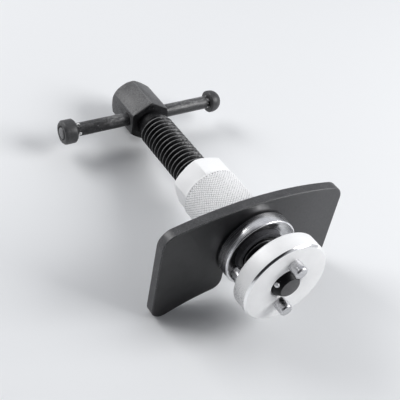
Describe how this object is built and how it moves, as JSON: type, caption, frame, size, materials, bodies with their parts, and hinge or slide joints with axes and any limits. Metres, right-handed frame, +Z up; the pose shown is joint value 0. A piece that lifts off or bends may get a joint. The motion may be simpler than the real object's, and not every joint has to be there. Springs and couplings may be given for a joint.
{
  "type": "brake caliper piston tool",
  "caption": "Screw tool that winds back a brake caliper piston: pinned disc, knurled nut, slotted reaction plate and sliding tommy bar.",
  "frame": {"origin": "on the screw's axis, in the plane of the reaction plate's rear face", "axes": "+Y along the screw towards its handle, +Z up out of the plate's arched edge, +X along the tommy bar towards its domed knob"},
  "size_m": [0.096, 0.1535, 0.0543],
  "materials": {
    "plate_black": "satin black coating",
    "nut_zinc": "bright zinc plate, knurled",
    "flange_chrome": "polished",
    "spindle_black": "black oxide, oiled",
    "ball_steel": "polished",
    "spring_steel": "drawn wire",
    "disc_zinc": "bright zinc plate, turned",
    "pin_steel": "ground",
    "bar_black": "black oxide, oiled",
    "bar_end_black": "black oxide"
  },
  "bodies": {
    "plate": {"reaction_plate": "plate_black"},
    "nut": {"nut_sleeve": "nut_zinc", "thrust_flange": "flange_chrome"},
    "disc": {"pin_disc": "disc_zinc", "front_pin_1": "pin_steel", "front_pin_2": "pin_steel", "rear_pin_1": "pin_steel", "rear_pin_2": "pin_steel"},
    "screw": {"spindle": "spindle_black", "detent_ball": "ball_steel", "detent_spring": "spring_steel"},
    "bar": {"tommy_bar": "bar_black", "end_collar": "bar_end_black", "end_knob": "bar_end_black"}
  },
  "joints": [
    {"name": "nut_turn", "type": "hinge", "parent": "plate", "child": "nut", "pos_m": [0, 0, 0], "axis": [0, 1, 0], "continuous": true},
    {"name": "disc_advance", "type": "slide", "parent": "nut", "child": "disc", "axis": [0, -1, 0], "range_m": [-0.0036, 0.045]},
    {"name": "spindle_turn", "type": "hinge", "parent": "disc", "child": "screw", "pos_m": [0, 0, 0], "axis": [0, 1, 0], "range_deg": [-470, 5880]},
    {"name": "bar_slide", "type": "slide", "parent": "screw", "child": "bar", "axis": [1, 0, 0], "range_m": [-0.028, 0.029]}
  ],
  "couplings": [
    {"joint": "disc_advance", "follows": "spindle_turn", "m_per_rad": 0.00043768}
  ]
}
